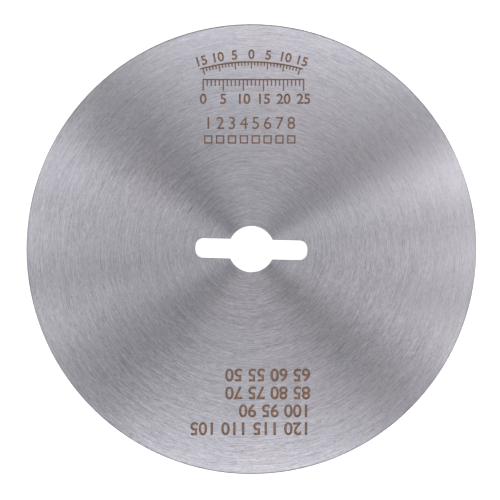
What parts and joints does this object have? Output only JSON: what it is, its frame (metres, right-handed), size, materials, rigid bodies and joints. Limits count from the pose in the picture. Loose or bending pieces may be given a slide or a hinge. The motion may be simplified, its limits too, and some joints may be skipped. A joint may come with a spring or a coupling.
{
  "type": "circular knife",
  "caption": "Flat round steel blade with a fine ground edge all round and a keyed centre opening: a hole with one slot across it, which a drive turns.",
  "frame": {"origin": "middle of the centre hole, on the plane of the underside, which is the side with the wide bevel", "axes": "+Z along the axis of the hole, out of the flat outer side; +X along the slot"},
  "size_m": [0.112, 0.112, 0.0012],
  "materials": {
    "blade_steel": "hardened stainless steel, ground in fine rings about the centre, with a narrow honed edge"
  },
  "bodies": {
    "root": {"blade": "blade_steel"}
  },
  "joints": []
}
